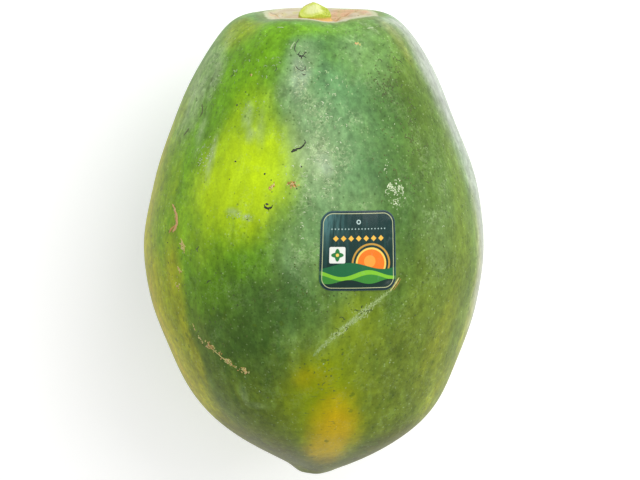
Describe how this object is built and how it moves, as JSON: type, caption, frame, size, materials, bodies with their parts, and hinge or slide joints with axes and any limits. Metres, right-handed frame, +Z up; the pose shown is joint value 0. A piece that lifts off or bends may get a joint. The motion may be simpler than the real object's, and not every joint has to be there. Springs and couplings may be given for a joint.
{
  "type": "papaya",
  "caption": "Large ripening papaya lying on its side, with a pointed blossom end, a lobed stem end with a cut stalk stub, and a small unlettered produce sticker.",
  "frame": {"origin": "centre of the bounding box, on the surface that the fruit rests on", "axes": "+Y along the fruit, from the blossom tip to the stem end; +Z up, out of the side that bears the sticker; +X to the right"},
  "size_m": [0.1552, 0.221, 0.1557],
  "materials": {
    "fruit_skin": "waxy satin skin, mottled green turning yellow",
    "stalk": "matt, fresh-cut plant stem",
    "label_film": "printed film with a soft gloss"
  },
  "bodies": {
    "root": {"fruit": "fruit_skin", "stalk_stub": "stalk", "label": "label_film"}
  },
  "joints": []
}
